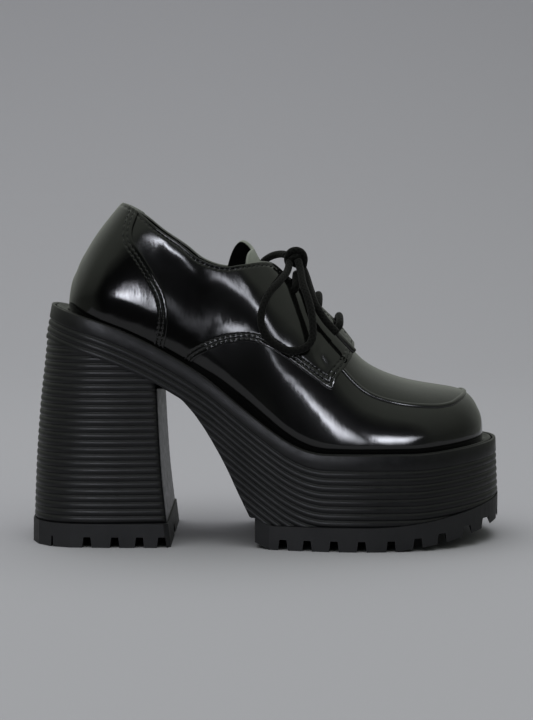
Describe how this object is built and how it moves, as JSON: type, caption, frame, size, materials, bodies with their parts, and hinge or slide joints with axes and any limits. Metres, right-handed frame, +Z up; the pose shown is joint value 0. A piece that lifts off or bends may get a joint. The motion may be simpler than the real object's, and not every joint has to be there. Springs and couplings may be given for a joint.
{
  "type": "heeled oxford shoe",
  "caption": "Right-foot lace-up shoe with a high block heel, a tall ribbed platform, a raised apron seam over the toe and a tied lace; the upper is open at the collar.",
  "frame": {"origin": "on the floor, under the middle of the shoe's bounding box without the free lace", "axes": "+X to the toe, +Z up; the outer side of this right shoe faces -Y"},
  "size_m": [0.2638, 0.0992, 0.1866],
  "materials": {
    "leather": "smooth black leather, polished to a high gloss",
    "lining": "matte dark lining",
    "sole": "satin black moulded rubber",
    "tread": "matte charcoal rubber",
    "lace": "matte black round cotton lace",
    "aglet": "black plastic"
  },
  "bodies": {
    "root": {"sole_unit": "sole", "forefoot_tread": "tread", "heel_tread": "tread", "welt": "sole", "insole": "lining", "upper": "leather", "tongue": "leather", "lace_bar_1": "lace", "lace_bar_2": "lace", "lace_bar_3": "lace", "lace_knot": "lace", "lace_loop_outer": "lace", "lace_loop_inner": "lace", "lace_end_outer": "lace", "lace_end_inner": "lace", "aglet_outer": "aglet", "aglet_inner": "aglet"}
  },
  "joints": []
}
